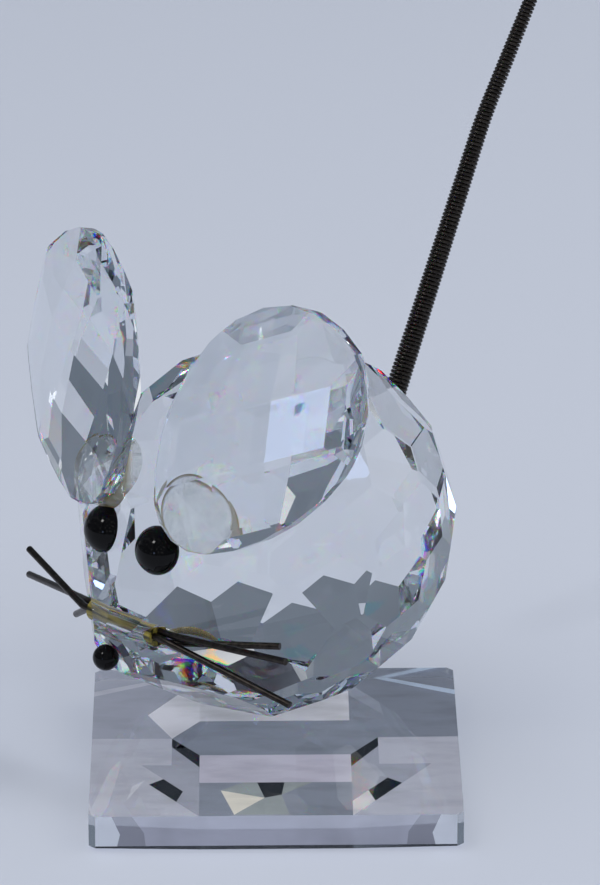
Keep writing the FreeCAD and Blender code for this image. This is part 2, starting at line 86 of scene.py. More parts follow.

# Painted light: the tone and share of each facet under the plate, painted reflections, painted shade and
# painted highlights as the plate looks from above.
PAINTED_FACET_TONES = {
    "slate": ("#858C9A", 0.95), "rose": ("#D8D0DE", 0.7), "white": ("#F6F6FF", 1.2), "dark": ("#05070D", 1.3),
    "grey": ("#A2A3AF", 0.7), "pale": ("#CBCAD4", 0.7), "blue": ("#D6E8FF", 1.0), "bright": ("#FFF8E6", 1.0),
    "green": ("#969E98", 0.8), "haze": ("#DADBEB", 0.75), "veil": ("#B9BAC8", 0.7), "gleam": ("#F2F6FF", 1.0)}
# Random drift of the painted facet tones, and how far they dim.
FACET_DRIFT = (11.11, 3.846, 11.11)
FACET_DRIFT_EDGE = (0.3, 0.55)
FACET_DRIFT_DIM = 0.78


def linear(hex_colour):
    """An sRGB hex colour as the linear red, green, blue and alpha that a shader takes."""
    parts = np.array([int(hex_colour[i:i + 2], 16) / 255 for i in (1, 3, 5)])
    low = parts / 12.92
    high = ((parts + 0.055) / 1.055) ** 2.4
    return (*np.where(parts <= 0.04045, low, high), 1.0)


def new_material(name):
    """An empty node material, with its node tree and its output."""
    material = bpy.data.materials.new(name)
    material.use_nodes = True
    tree = material.node_tree
    tree.nodes.clear()
    return material, tree, tree.nodes.new("ShaderNodeOutputMaterial")


def add(tree, kind, settings=None, links=None):
    """Adds a node: settings are its properties or sockets by name, links lead into its sockets."""
    node = tree.nodes.new("ShaderNode" + kind)
    for name, value in (settings or {}).items():
        if isinstance(name, int) or name in node.inputs:
            node.inputs[name].default_value = value
        else:
            setattr(node, name, value)
    for name, source in (links or {}).items():
        tree.links.new(source, node.inputs[name])
    return node


def two_tones(tree, source, low, high, edge=(0.0, 1.0)):
    """A colour ramp between two linear colours, which it reaches at the two values of the edge."""
    ramp = add(tree, "ValToRGB", {}, {"Fac": source})
    for element, position, colour in zip(ramp.color_ramp.elements, edge, (low, high)):
        element.position = position
        element.color = colour
    return ramp.outputs[0]


def crystal_glass(tree, fire_share):
    """Clear glass, with patches in which red, green and blue are bent by slightly different amounts."""
    place = add(tree, "TexCoord")
    patches = add(tree, "TexNoise", {"Scale": 1 / (FIRE_PATCH * MM), "Detail": 1.0},
                  {"Vector": place.outputs["Object"]})
    fire = add(tree, "MapRange",
               {"From Min": FIRE_EDGE[0], "From Max": FIRE_EDGE[1], "To Min": 0.0, "To Max": fire_share},
               {"Value": patches.outputs[0]})
    total = None
    for tint, ior in (("#FF0000", CRYSTAL_IOR_RED), ("#00FF00", CRYSTAL_IOR), ("#0000FF", CRYSTAL_IOR_BLUE)):
        glass = add(tree, "BsdfGlass", {"Color": linear(tint), "IOR": ior, "Roughness": 0.0})
        total = add(tree, "AddShader", {}, {0: total.outputs[0], 1: glass.outputs[0]}) if total else glass
    clear = add(tree, "BsdfGlass", {"Color": linear(CRYSTAL_TINT), "IOR": CRYSTAL_IOR, "Roughness": 0.0})
    surface = add(tree, "MixShader", {}, {0: fire.outputs[0], 1: clear.outputs[0], 2: total.outputs[0]})
    return surface.outputs[0]


def with_clear_shadow(tree, output, surface):
    """Light passes a crystal on its way to a lamp, a little dimmed, instead of being stopped."""
    path = add(tree, "LightPath")
    clear = add(tree, "BsdfTransparent", {"Color": linear(CRYSTAL_SHADOW)})
    mixed = add(tree, "MixShader", {}, {0: path.outputs["Is Shadow Ray"], 1: surface, 2: clear.outputs[0]})
    tree.links.new(mixed.outputs[0], output.inputs["Surface"])


def lead_crystal(name, fire_share):
    """Lead crystal, ground and polished: clear, with sharp reflections and patches of rainbow colour."""
    material, tree, output = new_material(name)
    with_clear_shadow(tree, output, crystal_glass(tree, fire_share))
    return material


def painted_light_facet(name, colour, share):
    """A polished facet with painted light mixed into its glass: a diffuse tone, drifting a little at random,
    that is a painted reflection, painted shade or painted highlight. What mirrors at a slant stays clear
    glass."""
    material, tree, output = new_material(name)
    glass = crystal_glass(tree, 0.0)
    place = add(tree, "TexCoord")
    scale = tuple(1 / (size * MM) for size in FACET_DRIFT)
    drawn = add(tree, "VectorMath", {"operation": "MULTIPLY", 1: scale}, {0: place.outputs["Object"]})
    drift = add(tree, "TexNoise", {"Scale": 1.0, "Detail": 3.0}, {"Vector": drawn.outputs[0]})
    full = linear(colour)
    dim = tuple(part * FACET_DRIFT_DIM for part in full[:3]) + (1.0,)
    tone = two_tones(tree, drift.outputs[0], dim, full, FACET_DRIFT_EDGE)
    # Painted light: this diffuse tone stands for the reflections, shade and highlights that the facet shows.
    painted_tone_shader = add(tree, "BsdfDiffuse", {}, {"Color": tone})
    mirrored = add(tree, "Fresnel", {"IOR": CRYSTAL_IOR})
    shown = add(tree, "Math", {"operation": "MULTIPLY_ADD", 1: -share, 2: share}, {0: mirrored.outputs[0]})
    mixed = add(tree, "MixShader", {}, {0: shown.outputs[0], 1: glass, 2: painted_tone_shader.outputs[0]})
    with_clear_shadow(tree, output, mixed.outputs[0])
    return material


def dress(node, material):
    """Gives a CAD node's object its material."""
    thing = frame["nodes"][node]
    thing.data.materials.clear()
    thing.data.materials.append(material)


def placed(name, mesh, materials):
    """A new piece at the origin, with its place in its mesh."""
    for material in materials:
        mesh.materials.append(material)
    piece = bpy.data.objects.new(name, mesh)
    bpy.context.scene.collection.objects.link(piece)
    return piece


def facet_height(x, y):
    """Height of the plate's underside over its foot: the highest of the foot and of the planes that rise from
    its edges, each by its slope times the distance from its edge."""
    x, y = abs(x), abs(y)
    way = np.array([FOOT_REACH - FOOT_SIDE_EDGE, FOOT_SIDE_REACH - FOOT_EDGE])
    way /= np.linalg.norm(way)
    steep = FACET_SLOPE / way[1]
    corner = steep * (way[0] * (x - FOOT_EDGE) + way[1] * (y - FOOT_REACH))
    return max(0.0, FACET_SLOPE * (y - FOOT_REACH), steep * way[0] * (x - FOOT_SIDE_REACH), corner)


def corner_lines():
    """Points on the front corner facet: two lines beside the foot's slanted edge, and two points on each."""
    edge = np.array([FOOT_SIDE_REACH - FOOT_EDGE, FOOT_REACH - FOOT_SIDE_EDGE])
    edge = edge / np.linalg.norm(edge)
    points = {}
    for line, out in (("near", CORNER_NEAR_LINE), ("far", CORNER_FAR_LINE)):
        side = np.array([FOOT_SIDE_REACH + out / edge[1], -FOOT_SIDE_EDGE])
        front = np.array([FOOT_EDGE, -FOOT_REACH - out / edge[0]])
        points[line + "_side"], points[line + "_front"] = side, front
        for patch, share in zip(("_patch_side", "_patch_front"), CORNER_PATCH):
            points[line + patch] = side + (front - side) * share
    return points


def plate_points(half, top):
    """Corners of the plate's facets in mm: x, y and, on the front wall, z. Elsewhere the facets give it.
    Those of the kite in front of the foot are on both sides of the middle, the others on the right alone."""
    cut = half - CORNER_CUT
    foot = {"foot_back": (FOOT_EDGE, FOOT_REACH), "foot_side_back": (FOOT_SIDE_REACH, FOOT_SIDE_EDGE),
            "foot_side_front": (FOOT_SIDE_REACH, -FOOT_SIDE_EDGE), "foot_front": (FOOT_EDGE, -FOOT_REACH),
            "band_back": (FOOT_EDGE, -1.2), "band_side": (FOOT_SIDE_REACH, 1.6),
            "band_front": (FOOT_EDGE, -5.2)}
    rim = {"rim_side_back": (half, FOOT_SIDE_EDGE), "rim_side_front": (half, -FOOT_SIDE_EDGE),
           "rim_back": (FOOT_EDGE, half), "rim_front": (FOOT_EDGE, -half),
           "cut_side_back": (half, cut), "cut_back": (cut, half),
           "cut_side_front": (half, -cut), "cut_front": (cut, -half)}
    # The flash is a band of painted highlight across the rear corner facets.
    flash = {"flash_tip": (17.5, 12.5), "flash_back": (13.8, half), "flash_side": (half, 19.0),
             "flash_outer_back": (15.8, half), "flash_outer_side": (half, 20.6)}
    # The kite is a painted reflection of the body's seat, with painted dark and bright patches in it.
    kite = {"kite_left": (-7.4, -13.0), "kite_back": (-4.5, -FOOT_REACH), "kite_right": (5.0, -FOOT_REACH),
            "kite_tip_left": (-5.6, -21.0), "kite_tip_right": (1.8, -21.0),
            "kite_dark_left": (-2.5, -FOOT_REACH), "kite_dark_right": (1.2, -FOOT_REACH),
            "kite_dark_tip": (-1.5, -15.5), "kite_dark_low": (0.8, -14.5)}
    # Corners of painted highlights and painted sheen on the front wall.
    wall = {"wall_cut": (cut, -half, WALL_LIP), "wall_cut_top": (cut, -half, top),
            "wall_low": (21.2, -half, WALL_LIP), "wall_bend": (20.8, -half, 2.4),
            "wall_top": (21.9, -half, top)}
    veil = {"veil_low": (17.4, -half, WALL_LIP), "veil_bend": (17.6, -half, 2.6),
            "veil_top": (19.2, -half, top)}
    return foot | rim | flash | kite | wall | veil | corner_lines()


# Facets with their painted tone, or clear glass, by the names of their corners. A minus sign takes a corner's
# mirror image.
MIDDLE_FACETS = (
    ("slate", "foot_back foot_side_back band_back -band_back -foot_side_back -foot_back"),
    ("white", "foot_back rim_back -rim_back -foot_back"),
    ("rose", "band_back band_front foot_front kite_right kite_dark_right kite_dark_left kite_back "
             "-foot_front -band_front -band_back"),
    ("slate", "-foot_front kite_back kite_left kite_tip_left -rim_front -far_front -near_front"),
    ("grey", "kite_tip_left kite_tip_right rim_front -rim_front"),
    ("slate", "kite_tip_right kite_dark_low kite_right foot_front near_front far_front rim_front"),
    ("bright", "kite_left kite_dark_tip kite_tip_left"),
    ("dark", "kite_dark_left kite_dark_right kite_dark_low kite_dark_tip"),
    ("green", "kite_left kite_back kite_dark_left kite_dark_tip"),
    ("green", "kite_dark_right kite_right kite_dark_low"),
    ("green", "kite_dark_tip kite_dark_low kite_tip_right kite_tip_left"))

# Facets that each side has, with the painted tone or clear glass on the right, then on the left.
SIDE_FACETS = (
    ("dark", "dark", "foot_side_back band_side band_front band_back"),
    ("grey", "grey", "band_side foot_side_front foot_front band_front"),
    ("pale", "pale", "foot_side_back rim_side_back rim_side_front far_side near_side foot_side_front "
                     "band_side"),
    ("blue", "pale", "flash_back flash_outer_back flash_outer_side flash_side"),
    ("slate", "grey", "flash_outer_back cut_back cut_side_back flash_outer_side"),
    ("slate", "white", "foot_back foot_side_back flash_tip rim_back"),
    ("slate", "grey", "foot_side_back rim_side_back flash_side flash_back rim_back flash_tip"),
    ("grey", "grey", "foot_side_front near_side near_patch_side near_patch_front near_front foot_front"),
    ("grey", "pale", "near_side far_side far_patch_side near_patch_side"),
    ("dark", "dark", "near_patch_side far_patch_side far_patch_front near_patch_front"),
    ("white", "grey", "near_patch_front far_patch_front far_front near_front"),
    ("pale", "pale", "far_side rim_side_front cut_side_front cut_front rim_front far_front "
                     "far_patch_front far_patch_side"),
    ("gleam", "gleam", "wall_cut wall_low wall_bend wall_top wall_cut_top"),
    ("veil", "veil", "wall_low veil_low veil_bend veil_top wall_top wall_bend"),
    ("clear", "clear", "cut_side_front rim_side_front rim_side_back flash_side flash_outer_side "
                       "cut_side_back +cut_side_back +cut_side_front"),
    ("clear", "clear", "cut_side_back cut_back +cut_back +cut_side_back"),
    ("clear", "clear", "cut_side_front cut_front wall_cut wall_cut_top +cut_side_front"))

# The back wall, the front wall and the top; the middle of the front wall carries a painted tone. A plus sign
# takes the corner at the height of the top.
WALLS = (
    ("clear", "cut_back flash_outer_back flash_back rim_back "
              "-rim_back -flash_back -flash_outer_back -cut_back -+cut_back +cut_back"),
    ("clear", "cut_front rim_front -rim_front -cut_front "
              "-wall_cut -wall_low -veil_low veil_low wall_low wall_cut"),
    ("haze", "veil_low -veil_low -veil_bend -veil_top veil_top veil_bend"),
    ("clear", "veil_top wall_top wall_cut_top +cut_side_front +cut_side_back +cut_back "
              "-+cut_back -+cut_side_back -+cut_side_front -wall_cut_top -wall_top -veil_top"))


def faceted_slab(name, tones):
    """A slab with a flat top and a faceted underside, each facet a flat polygon between named corners. It is
    turned so that its normal, summed from the fan of its triangles, points away from the slab's middle."""
    low, high = (np.array(end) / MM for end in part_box("base_plate"))
    points = plate_points(high[0], high[2])
    corners, faces, looks = [], [], []

    def corner(key, mirrored):
        mirrored ^= key.startswith("-")
        x, y, *height = points[key.lstrip("-+")]
        if "+" in key:
            z = high[2]
        else:
            z = height[0] if height else low[2] + facet_height(x, y)
        place = (-x if mirrored else x, y, z)
        if place not in corners:
            corners.append(place)
        return corners.index(place)

    def facet(tone, keys, mirrored=False):
        faces.append([corner(key, mirrored) for key in keys.split()])
        looks.append(tone)

    for tone, keys in MIDDLE_FACETS:
        facet(tone, keys)
    for mirrored in (False, True):
        for *side_tones, keys in SIDE_FACETS:
            facet(side_tones[mirrored], keys, mirrored)
    for tone, keys in WALLS:
        facet(tone, keys)

    place = np.array(corners)
    middle = place.mean(axis=0)
    for loop in faces:
        ring = place[loop]
        normal = np.cross(ring[1:-1] - ring[0], ring[2:] - ring[0]).sum(axis=0)
        if normal @ (ring.mean(axis=0) - middle) < 0:
            loop.reverse()
    mesh = bpy.data.meshes.new(name)
    mesh.from_pydata(place * MM, [], faces)
    mesh.polygons.foreach_set("material_index", [tones.index(look) for look in looks])
    mesh.update()
    return mesh


plate_looks = {"clear": lead_crystal("polished_lead_crystal_slab", 0.0)}
# Each tone becomes a material of painted light: painted reflections, painted shade and painted highlights.
for tone, (colour, share) in PAINTED_FACET_TONES.items():
    plate_looks[tone] = painted_light_facet("facet_painted_light_" + tone, colour, share)
plate_mesh = faceted_slab("faceted_base_plate", list(plate_looks))
plate = placed("faceted_base_plate", plate_mesh, plate_looks.values())
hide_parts("base_plate")
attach(plate, "figure")


# Body crystal
# One stone of lead crystal in the shape of a mouse without its ears, a ball behind that narrows to a blunt
# snout. Facets are ground in rows round its long axis, and two bores take the whiskers and the tail.

BODY_FIRE = 0.9

crystal = lead_crystal("cut_lead_crystal", BODY_FIRE)
dress("body_crystal", crystal)


# Adhesive film under the body
# A thin layer of clear adhesive between the ground seat of the body and the plate.
# It is pressed flat by the body's weight and cured by light.

CLOUD_SPREAD = (0.7, 1.3)
CURED_CLEAR = "#FAFBFA"
CURED_ROUGHNESS = 0.25
CURED_IOR = 1.5
FILM_TONE = "#E8EAEC"
FILM_CLOUD = 0.03
FILM_GRAIN = 2.0


def cured_adhesive(name, colour, cloud, grain):
    """Acrylic adhesive, cured by light: mostly clear, clouded by small bubbles, with a soft shine."""
    material, tree, output = new_material(name)
    place = add(tree, "TexCoord")
    bubbles = add(tree, "TexNoise", {"Scale": 1 / (grain * MM), "Detail": 4.0},
                  {"Vector": place.outputs["Object"]})
    thin, thick = (cloud * spread for spread in CLOUD_SPREAD)
    share = add(tree, "MapRange", {"From Min": 0.35, "From Max": 0.75, "To Min": thin, "To Max": thick},
                {"Value": bubbles.outputs[0]})
    body = add(tree, "BsdfPrincipled",
               {"Base Color": linear(colour), "Roughness": CURED_ROUGHNESS, "IOR": CURED_IOR})
    clear = add(tree, "BsdfTransparent", {"Color": linear(CURED_CLEAR)})
    mixed = add(tree, "MixShader", {}, {0: share.outputs[0], 1: clear.outputs[0], 2: body.outputs[0]})
    tree.links.new(mixed.outputs[0], output.inputs["Surface"])
    return material


dress("base_adhesive", cured_adhesive("clear_cured_film", FILM_TONE, FILM_CLOUD, FILM_GRAIN))


# Ears
# Two drop-shaped lenses of the same crystal, chequered with facets on both faces.
# Each is glued by its root to the head with a drop of clear adhesive, which has gone a little milky.

MILKY = "#F6F6F4"
YELLOWED = "#8C7C48"
MILKY_ROUGHNESS = 0.3
MILKY_CLOUD = (0.05, 0.13)
MILKY_GRAIN = 3.0
DROP_RADIUS = 5.2
DROP_RIM = (0.35, 0.1)
DROP_RIM_SHARE = 0.6
SIDE_WALL_PERCENTILE = 60


def drop_axis(node):
    """The middle and the axis of an adhesive drop. The axis is the direction that the normals of the small
    side faces, weighted by area, point along least. The middle is that of the best circle through the
    mesh's corners, seen along the axis."""
    mesh = frame["nodes"][node].data
    normals = np.array([polygon.normal for polygon in mesh.polygons])
    areas = np.array([polygon.area for polygon in mesh.polygons])
    corners = np.array([vertex.co for vertex in mesh.vertices])
    side_wall = areas < np.percentile(areas, SIDE_WALL_PERCENTILE)
    axis = np.linalg.svd(normals[side_wall] * areas[side_wall][:, None])[2][2]
    flat = np.linalg.svd(np.cross([1.0, 0, 0], axis)[None])[2][0]
    other = np.cross(axis, flat)
    u, v = corners @ flat, corners @ other
    table = np.stack([u, v, np.ones_like(u)], axis=1)
    fit = np.linalg.lstsq(table, u * u + v * v, rcond=None)[0]
    return flat * fit[0] / 2 + other * fit[1] / 2, axis


def milky_drop(name, centre, axis, radius):
    """Cured adhesive in a thin drop: nearly clear inside, with a fine yellowed line along its rim."""
    material, tree, output = new_material(name)
    place = add(tree, "TexCoord")
    spoke = add(tree, "VectorMath", {"operation": "SUBTRACT", 1: tuple(centre)}, {0: place.outputs["Object"]})
    out = add(tree, "VectorMath", {"operation": "CROSS_PRODUCT", 1: tuple(axis)}, {0: spoke.outputs[0]})
    away = add(tree, "VectorMath", {"operation": "LENGTH"}, {0: out.outputs[0]})
    inner, outer = (radius - depth * MM for depth in DROP_RIM)
    rim = add(tree, "MapRange", {"From Min": inner, "From Max": outer}, {"Value": away.outputs["Value"]})
    tone = two_tones(tree, rim.outputs[0], linear(MILKY), linear(YELLOWED))
    cloud = add(tree, "TexNoise", {"Scale": 1 / (MILKY_GRAIN * MM), "Detail": 2.0},
                {"Vector": place.outputs["Object"]})
    share = add(tree, "MapRange",
                {"From Min": 0.3, "From Max": 0.7, "To Min": MILKY_CLOUD[0], "To Max": MILKY_CLOUD[1]},
                {"Value": cloud.outputs[0]})
    thick = add(tree, "Math", {"operation": "MULTIPLY_ADD", 1: DROP_RIM_SHARE},
                {0: rim.outputs[0], 2: share.outputs[0]})
    body = add(tree, "BsdfPrincipled", {"Roughness": MILKY_ROUGHNESS, "IOR": CURED_IOR},
               {"Base Color": tone})
    clear = add(tree, "BsdfTransparent", {"Color": linear(CURED_CLEAR)})
    mixed = add(tree, "MixShader", {}, {0: thick.outputs[0], 1: clear.outputs[0], 2: body.outputs[0]})
    tree.links.new(mixed.outputs[0], output.inputs["Surface"])
    return material


for side in ("left", "right"):
    dress(side + "_ear", crystal)
    drop = side + "_ear_adhesive"
    dress(drop, milky_drop("milky_" + drop, *drop_axis(drop), DROP_RADIUS * MM))


# Eyes and nose
# Two cabochons and a bead of black glass, moulded and fire-polished.
# They are glued to small flat facets of the snout.

GLASS_BLACK = "#060607"
GLASS_BLACK_WARM = "#0D0B0C"
GLASS_CLOUD = 2.0
GLASS_HAZE = (0.02, 0.08)
GLASS_IOR = 1.27


def black_glass(name):
    """Black glass, moulded and fire-polished: deep black with small sharp highlights."""
    material, tree, output = new_material(name)
    place = add(tree, "TexCoord")
    cloud = add(tree, "TexNoise", {"Scale": 1 / (GLASS_CLOUD * MM), "Detail": 3.0},
                {"Vector": place.outputs["Object"]})
    tone = two_tones(tree, cloud.outputs[0], linear(GLASS_BLACK), linear(GLASS_BLACK_WARM))
    haze = add(tree, "MapRange",
               {"From Min": 0.4, "From Max": 0.8, "To Min": GLASS_HAZE[0], "To Max": GLASS_HAZE[1]},
               {"Value": cloud.outputs[0]})
    glass = add(tree, "BsdfPrincipled", {"IOR": GLASS_IOR},
                {"Base Color": tone, "Roughness": haze.outputs[0]})
    tree.links.new(glass.outputs[0], output.inputs["Surface"])
    return material


black = black_glass("fire_polished_black_glass")
for node in ("left_eye", "right_eye", "nose"):
    dress(node, black)


# Whiskers
# Three pieces of dark drawn wire, pushed side by side through the bore in the snout and bent by hand where
# they leave it. A golden adhesive fills the bore round them and leaves a smear on the near cheek.

WIRE_DARK = "#322E2B"
WIRE_WORN = "#504A45"
WIRE_MARK = 0.7
WIRE_METALLIC = 1.0
WIRE_ROUGHNESS = (0.28, 0.42)
WORN_EDGE = (0.35, 0.75)

FILL_DARK = "#1E1C0A"
FILL_GOLD = "#B3A24A"
FILL_CLEAR = "#EAD9A0"
FILL_ROUGHNESS = 0.3
FILL_STREAK = (8.333, 0.6667, 0.6667)
FILL_EDGE = (0.38, 0.6)

SMEAR_TONE = "#9C8A50"
SMEAR_CLOUD = 0.6
SMEAR_GRAIN = 0.5
SMEAR_FIRST = (-14.3, -4.25, 23.0)
SMEAR_LAST = (-7.6, -5.6, 22.1)
CHEEK_OUTWARD = (-0.2, -0.979, -0.045)
SMEAR_BOW = 0.75
SMEAR_HALF_WIDTH = 0.6
SMEAR_HEIGHT = 0.25
SMEAR_BLUNT = 0.01
SMEAR_RINGS = 33
SMEAR_SIDES = 16

joints = {joint["name"]: joint for joint in frame["joints"]}


def drawn_wire(name, dark, worn, mark, metallic, roughness):
    """Drawn spring wire, blued by heat: a dull dark metal with brighter draw marks."""
    material, tree, output = new_material(name)
    place = add(tree, "TexCoord")
    marks = add(tree, "TexNoise", {"Scale": 1 / (mark * MM), "Detail": 4.0},
                {"Vector": place.outputs["Object"]})
    tone = two_tones(tree, marks.outputs[0], linear(dark), linear(worn), WORN_EDGE)
    rough = add(tree, "MapRange",
                {"From Min": 0.3, "From Max": 0.7, "To Min": roughness[0], "To Max": roughness[1]},
                {"Value": marks.outputs[0]})
    metal = add(tree, "BsdfPrincipled", {"Metallic": metallic},
                {"Base Color": tone, "Roughness": rough.outputs[0]})
    tree.links.new(metal.outputs[0], output.inputs["Surface"])
    return material


def golden_fill(name, way):
    """Golden adhesive drawn into the bore: bright and dark streaks run along the wires."""
    material, tree, output = new_material(name)
    place = add(tree, "TexCoord")
    turned = add(tree, "Mapping", {"Rotation": (0.0, 0.0, -math.atan2(way[1], way[0]))},
                 {"Vector": place.outputs["Object"]})
    scale = tuple(1 / (size * MM) for size in FILL_STREAK)
    streaked = add(tree, "VectorMath", {"operation": "MULTIPLY", 1: scale}, {0: turned.outputs[0]})
    streaks = add(tree, "TexNoise", {"Scale": 1.0, "Detail": 2.0}, {"Vector": streaked.outputs[0]})
    tone = two_tones(tree, streaks.outputs[0], linear(FILL_DARK), linear(FILL_GOLD), FILL_EDGE)
    share = add(tree, "MapRange", {"From Min": 0.35, "From Max": 0.65, "To Min": 1.0, "To Max": 0.95},
                {"Value": streaks.outputs[0]})
    body = add(tree, "BsdfPrincipled", {"Roughness": FILL_ROUGHNESS, "IOR": CURED_IOR},
               {"Base Color": tone})
    clear = add(tree, "BsdfTransparent", {"Color": linear(FILL_CLEAR)})
    mixed = add(tree, "MixShader", {}, {0: share.outputs[0], 1: clear.outputs[0], 2: body.outputs[0]})
    tree.links.new(mixed.outputs[0], output.inputs["Surface"])
    return material


def tube_mesh(name, rings, smooth_ends):
    """A closed skin over a grid of rings by sides: quads between neighbours, and a flat face at each end."""
    count, sides, _ = rings.shape
    index = np.arange(count * sides).reshape(count, sides)
    beside = np.roll(index, -1, axis=1)
    quads = np.stack([index[:-1], index[1:], beside[1:], beside[:-1]], axis=-1).reshape(-1, 4)
    ends = [index[0].tolist(), index[-1][::-1].tolist()]
    mesh = bpy.data.meshes.new(name)
    mesh.from_pydata(rings.reshape(-1, 3) * MM, [], quads.tolist() + ends)
    mesh.update()
    smooth = np.ones(len(mesh.polygons), bool)
    smooth[-len(ends):] = smooth_ends
    mesh.polygons.foreach_set("use_smooth", smooth)
    return mesh


def smear_rings(first, last, outward):
    """A thin smear between two points of a facet: oval rings about a middle line that bows up by the sine of
    the way along, their width and height grown and shrunk by that sine's square root."""
    first, last, outward = (np.array(part, float) for part in (first, last, outward))
    way = (last - first) / np.linalg.norm(last - first)
    up = np.cross(outward, way)
    up *= math.copysign(1, up[2])
    along = np.linspace(SMEAR_BLUNT, 1 - SMEAR_BLUNT, SMEAR_RINGS)
    swell = np.sqrt(np.sin(np.pi * along))[:, None, None]
    around = np.linspace(0, 2 * np.pi, SMEAR_SIDES, endpoint=False)[None, :, None]
    line = first + (last - first) * along[:, None] + up * (SMEAR_BOW * np.sin(np.pi * along))[:, None]
    section = up * SMEAR_HALF_WIDTH * np.cos(around) - outward * SMEAR_HEIGHT * np.sin(around)
    return line[:, None, :] + swell * section


wire_metal = drawn_wire("dark_drawn_wire", WIRE_DARK, WIRE_WORN, WIRE_MARK, WIRE_METALLIC, WIRE_ROUGHNESS)
for node in ("whisker_upper", "whisker_middle", "whisker_lower"):
    dress(node, wire_metal)
dress("whisker_adhesive", golden_fill("golden_cured_adhesive", joints["tail_nod"]["axis"]))
smear_mesh = tube_mesh("whisker_adhesive_smear", smear_rings(SMEAR_FIRST, SMEAR_LAST, CHEEK_OUTWARD), True)
golden_smear = cured_adhesive("golden_cured_smear", SMEAR_TONE, SMEAR_CLOUD, SMEAR_GRAIN)
smear = placed("whisker_adhesive_smear", smear_mesh, [golden_smear])
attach(smear, "figure")


# Tail
# A close-wound spring of fine dark wire that narrows towards its tip, glued into a bore in the back.
# The real spring bends all along its length; here its middle line is two straight runs with a short bend
# between. It is one helix, made as two meshes that meet turn to turn.

SPRING_DARK = "#26221F"
SPRING_WORN = "#4A443E"
SPRING_MARK = 0.4
SPRING_METALLIC = 0.7
SPRING_ROUGHNESS = (0.16, 0.28)
PLUG_TONE = "#DDD9CC"
PLUG_CLOUD = 0.25
PLUG_GRAIN = 1.0

TAIL_WIRE = 0.52
TAIL_PITCH = 0.548
TAIL_PROUD = 2.1
TAIL_IN_BORE = 4.9
TAIL_UPPER_LENGTH = 19.3
TAIL_UPPER_RISE = 59.4
TAIL_DIAMETERS = (3.2, 3.2, 2.4, 1.95)
TAIL_BEND_SPREAD = 4.0
AXIS_STEPS = 4001
STEPS_PER_TURN = 30
WIRE_SIDES = 10

nod = np.array(joints["tail_nod"]["pos_m"]) / MM
sway = np.array(joints["tail_sway"]["pos_m"]) / MM
lower_way = (sway - nod) / np.linalg.norm(sway - nod)
level = np.array([lower_way[0], lower_way[1], 0]) / math.hypot(lower_way[0], lower_way[1])
rise = math.radians(TAIL_UPPER_RISE)
upper_way = level * math.cos(rise) + np.array([0, 0, math.sin(rise)])
side_way = np.cross([0, 0, 1], level)
tail_foot = nod - lower_way * (TAIL_PROUD + TAIL_IN_BORE)
stations = np.cumsum([0, TAIL_IN_BORE, TAIL_PROUD + np.linalg.norm(sway - nod), TAIL_UPPER_LENGTH])


def tail_axis(distance):
    """Points and directions of the tail's middle line: two straight runs. Between them the direction turns by
    3 s squared minus 2 s cubed, with s the share of a short length, and the points are its running sum."""
    grid = np.linspace(0, stations[-1], AXIS_STEPS)
    share = np.clip((grid - stations[2]) / TAIL_BEND_SPREAD * 0.5 + 0.5, 0, 1)
    share = share * share * (3 - 2 * share)
    ways = lower_way + (upper_way - lower_way) * share[:, None]
    ways /= np.linalg.norm(ways, axis=1)[:, None]
    steps = (ways[1:] + ways[:-1]) / 2 * (grid[1] - grid[0])
    points = tail_foot + np.concatenate([np.zeros((1, 3)), np.cumsum(steps, axis=0)])
    at = [np.interp(distance, grid, points[:, k]) for k in range(3)]
    way = [np.interp(distance, grid, ways[:, k]) for k in range(3)]
    return np.stack(at, axis=1), np.stack(way, axis=1)


def spring_rings(first, last):
    """A helix round the tail's middle line from one distance to another, swept by the wire's round section:
    the spoke turns once per pitch, and each ring lies in the plane of the spoke and the middle line."""
    count = int(round((last - first) / TAIL_PITCH * STEPS_PER_TURN)) + 1
    distance = np.linspace(first, last, count)
    axis, way = tail_axis(distance)
    outer = np.interp(distance, stations, TAIL_DIAMETERS) / 2
    phase = 2 * np.pi * distance / TAIL_PITCH
    spoke = side_way * np.cos(phase)[:, None] + np.cross(way, side_way) * np.sin(phase)[:, None]
    line = axis + spoke * (outer - TAIL_WIRE / 2)[:, None]
    around = np.linspace(0, 2 * np.pi, WIRE_SIDES, endpoint=False)[None, :, None]
    ring = spoke[:, None, :] * np.cos(around) + way[:, None, :] * np.sin(around)
    return line[:, None, :] + ring * (TAIL_WIRE / 2)


spring_metal = drawn_wire("dark_spring_wire", SPRING_DARK, SPRING_WORN, SPRING_MARK, SPRING_METALLIC,
                          SPRING_ROUGHNESS)
middle = round((stations[1] + stations[2]) / 2 / TAIL_PITCH) * TAIL_PITCH
tail_pieces = []
for name, first, last in (("tail_spring_lower", 0, middle), ("tail_spring_upper", middle, stations[-1])):
    piece = placed(name, tube_mesh(name, spring_rings(first, last), False), [spring_metal])
    tail_pieces.append(piece)
tail_lower, tail_upper = tail_pieces
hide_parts("tail_anchor_turns", "tail_lower_coil")
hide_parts("tail_upper_coil")
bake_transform(tail_lower)
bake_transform(tail_upper)
dress("tail_adhesive", cured_adhesive("clear_cured_adhesive", PLUG_TONE, PLUG_CLOUD, PLUG_GRAIN))


# Stage
# A plain pale floor and soft lamps. The crystal mirrors a slate-grey room with darker and lighter areas, and
# the camera sees that room as plain and pale as the floor.

FLOOR_COLOUR = "#C3C8D4"
FLOOR_REACH = 450.0
FLOOR_DROP = 0.02
ROOM_PALE = "#BEC4D2"
ROOM_SLATE = "#69727E"
ROOM_DARK = "#22262E"
ROOM_BRIGHT = "#FFFFFF"
ROOM_AREAS = ((0.3, ROOM_DARK), (0.36, ROOM_SLATE), (0.66, ROOM_SLATE), (0.72, ROOM_BRIGHT))
ROOM_HORIZON = (-0.12, -0.05)
ROOM_GRAIN = 8.0
ROOM_SHIFT = (5.0, 0.0, 0.0)
WINDOW_BLUE = "#A9C6FF"

